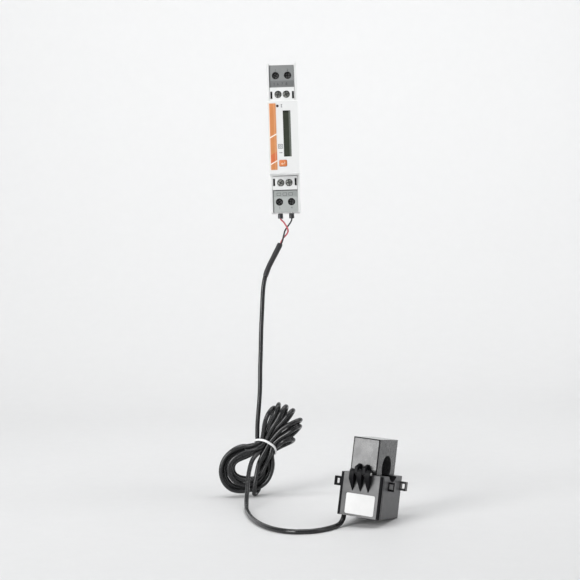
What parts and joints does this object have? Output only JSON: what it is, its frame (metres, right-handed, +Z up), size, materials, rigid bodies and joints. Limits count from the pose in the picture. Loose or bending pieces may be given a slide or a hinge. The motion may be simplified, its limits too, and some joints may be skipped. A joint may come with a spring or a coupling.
{
  "type": "single-phase energy meter",
  "caption": "One-module rail-mounted energy meter with a display, a key, screw terminals and a split-core current sensor on a coiled cable.",
  "frame": {"origin": "middle of the face that bears on the front of the 35 mm rail", "axes": "+X right, +Y towards the wall and the rail, +Z up; the display faces -Y"},
  "size_m": [0.1094, 0.1696, 0.264],
  "materials": {
    "white_case": "satin moulded",
    "stripe": "printed overlay",
    "window": "tinted clear",
    "lcd": "liquid crystal",
    "board": "solder mask",
    "component": "moulded epoxy",
    "film_box": "moulded box",
    "can": "sleeved can",
    "key": "moulded",
    "light_pipe": "translucent",
    "dark_plate": "fine texture",
    "light_plate": "fine texture",
    "steel": "zinc plated",
    "brass": "bare",
    "copper": "tinned copper",
    "clip_plastic": "moulded",
    "ferrule": "moulded collar",
    "red_insulation": "soft vinyl",
    "black_insulation": "soft vinyl",
    "tie": "vinyl strip",
    "sensor_case": "satin moulded",
    "core": "laminated",
    "label": "bare sticker"
  },
  "bodies": {
    "root": {"base_housing": "white_case", "front_cover": "white_case", "side_stripe": "stripe", "display_window": "window", "display_glass": "lcd", "display_holder": "white_case", "display_board": "board", "main_board": "board", "board_connector": "component", "film_capacitor": "film_box", "electrolytic_capacitors": "can", "power_transformer": "component", "varistor": "component", "board_chips": "component", "pulse_light_pipe": "light_pipe", "tact_switch": "component", "upper_terminal_carrier": "white_case", "lower_terminal_carrier": "white_case", "upper_terminal_plate": "dark_plate", "lower_terminal_plate": "light_plate", "upper_signal_cover": "white_case", "lower_signal_cover": "white_case", "terminal_contacts": "copper", "clip_spring": "steel", "wire_ferrules": "ferrule", "red_wire": "red_insulation", "black_wire": "black_insulation", "cable_sleeve": "black_insulation", "cable_upper": "black_insulation", "cable_hank": "black_insulation", "cable_tie": "tie", "cable_lower": "black_insulation", "sensor_base": "sensor_case", "sensor_bottom_plate": "sensor_case", "sensor_base_core": "core", "sensor_coil": "copper", "sensor_hinge_pin": "steel", "sensor_label": "label"},
    "main_screw_upper_left": {"main_screw_upper_left": "steel"},
    "main_cage_upper_left": {"main_cage_upper_left": "brass"},
    "main_screw_upper_right": {"main_screw_upper_right": "steel"},
    "main_cage_upper_right": {"main_cage_upper_right": "brass"},
    "main_screw_lower_left": {"main_screw_lower_left": "steel"},
    "main_cage_lower_left": {"main_cage_lower_left": "brass"},
    "main_screw_lower_right": {"main_screw_lower_right": "steel"},
    "main_cage_lower_right": {"main_cage_lower_right": "brass"},
    "signal_screw_upper_left": {"signal_screw_upper_left": "steel"},
    "signal_cage_upper_left": {"signal_cage_upper_left": "brass"},
    "signal_screw_upper_right": {"signal_screw_upper_right": "steel"},
    "signal_cage_upper_right": {"signal_cage_upper_right": "brass"},
    "signal_screw_lower_left": {"signal_screw_lower_left": "steel"},
    "signal_cage_lower_left": {"signal_cage_lower_left": "brass"},
    "signal_screw_lower_right": {"signal_screw_lower_right": "steel"},
    "signal_cage_lower_right": {"signal_cage_lower_right": "brass"},
    "rail_clip": {"rail_clip": "clip_plastic"},
    "display_button": {"display_button": "key", "switch_plunger": "clip_plastic"},
    "sensor_cap": {"sensor_cap": "sensor_case", "sensor_cap_core": "core", "sensor_latch": "sensor_case"}
  },
  "joints": [
    {"name": "main_screw_upper_left_turn", "type": "hinge", "parent": "root", "child": "main_screw_upper_left", "pos_m": [-0.0037, -0.038, 0.0384], "axis": [0, 1, 0], "range_deg": [0, 2520]},
    {"name": "main_cage_upper_left_rise", "type": "slide", "parent": "root", "child": "main_cage_upper_left", "axis": [0, -1, 0], "range_m": [0, 0.0035]},
    {"name": "main_screw_upper_right_turn", "type": "hinge", "parent": "root", "child": "main_screw_upper_right", "pos_m": [0.0037, -0.038, 0.0384], "axis": [0, 1, 0], "range_deg": [0, 2520]},
    {"name": "main_cage_upper_right_rise", "type": "slide", "parent": "root", "child": "main_cage_upper_right", "axis": [0, -1, 0], "range_m": [0, 0.0035]},
    {"name": "main_screw_lower_left_turn", "type": "hinge", "parent": "root", "child": "main_screw_lower_left", "pos_m": [-0.0037, -0.038, -0.0384], "axis": [0, 1, 0], "range_deg": [-2520, 0]},
    {"name": "main_cage_lower_left_rise", "type": "slide", "parent": "root", "child": "main_cage_lower_left", "axis": [0, -1, 0], "range_m": [-0.0035, 0]},
    {"name": "main_screw_lower_right_turn", "type": "hinge", "parent": "root", "child": "main_screw_lower_right", "pos_m": [0.0037, -0.038, -0.0384], "axis": [0, 1, 0], "range_deg": [-2520, 0]},
    {"name": "main_cage_lower_right_rise", "type": "slide", "parent": "root", "child": "main_cage_lower_right", "axis": [0, -1, 0], "range_m": [-0.0035, 0]},
    {"name": "signal_screw_upper_left_turn", "type": "hinge", "parent": "root", "child": "signal_screw_upper_left", "pos_m": [-0.0025, -0.038, 0.0268], "axis": [0, 1, 0], "range_deg": [0, 1800]},
    {"name": "signal_cage_upper_left_rise", "type": "slide", "parent": "root", "child": "signal_cage_upper_left", "axis": [0, -1, 0], "range_m": [0, 0.00225]},
    {"name": "signal_screw_upper_right_turn", "type": "hinge", "parent": "root", "child": "signal_screw_upper_right", "pos_m": [0.0025, -0.038, 0.0268], "axis": [0, 1, 0], "range_deg": [0, 1800]},
    {"name": "signal_cage_upper_right_rise", "type": "slide", "parent": "root", "child": "signal_cage_upper_right", "axis": [0, -1, 0], "range_m": [0, 0.00225]},
    {"name": "signal_screw_lower_left_turn", "type": "hinge", "parent": "root", "child": "signal_screw_lower_left", "pos_m": [-0.0025, -0.038, -0.0268], "axis": [0, 1, 0], "range_deg": [0, 1800]},
    {"name": "signal_cage_lower_left_rise", "type": "slide", "parent": "root", "child": "signal_cage_lower_left", "axis": [0, -1, 0], "range_m": [0, 0.00225]},
    {"name": "signal_screw_lower_right_turn", "type": "hinge", "parent": "root", "child": "signal_screw_lower_right", "pos_m": [0.0025, -0.038, -0.0268], "axis": [0, 1, 0], "range_deg": [0, 1800]},
    {"name": "signal_cage_lower_right_rise", "type": "slide", "parent": "root", "child": "signal_cage_lower_right", "axis": [0, -1, 0], "range_m": [0, 0.00225]},
    {"name": "rail_clip_slide", "type": "slide", "parent": "root", "child": "rail_clip", "axis": [0, 0, -1], "range_m": [0, 0.004], "stiffness_N_per_m": 2000, "springref_m": -0.002, "deforming": ["clip_spring"]},
    {"name": "display_button_press", "type": "slide", "parent": "root", "child": "display_button", "axis": [0, 1, 0], "range_m": [0, 0.0005], "stiffness_N_per_m": 3000, "springref_m": -0.0001},
    {"name": "sensor_cap_hinge", "type": "hinge", "parent": "root", "child": "sensor_cap", "pos_m": [0.03604, -0.14911, -0.18842], "axis": [0.9021, -0.4207, -0.0958], "range_deg": [0, 100], "deforming": ["sensor_latch"]}
  ],
  "couplings": [
    {"joint": "main_screw_upper_left_turn", "follows": "main_cage_upper_left_rise", "rad_per_m": 12566},
    {"joint": "main_screw_upper_right_turn", "follows": "main_cage_upper_right_rise", "rad_per_m": 12566},
    {"joint": "main_screw_lower_left_turn", "follows": "main_cage_lower_left_rise", "rad_per_m": 12566},
    {"joint": "main_screw_lower_right_turn", "follows": "main_cage_lower_right_rise", "rad_per_m": 12566},
    {"joint": "signal_screw_upper_left_turn", "follows": "signal_cage_upper_left_rise", "rad_per_m": 13963},
    {"joint": "signal_screw_upper_right_turn", "follows": "signal_cage_upper_right_rise", "rad_per_m": 13963},
    {"joint": "signal_screw_lower_left_turn", "follows": "signal_cage_lower_left_rise", "rad_per_m": 13963},
    {"joint": "signal_screw_lower_right_turn", "follows": "signal_cage_lower_right_rise", "rad_per_m": 13963}
  ]
}
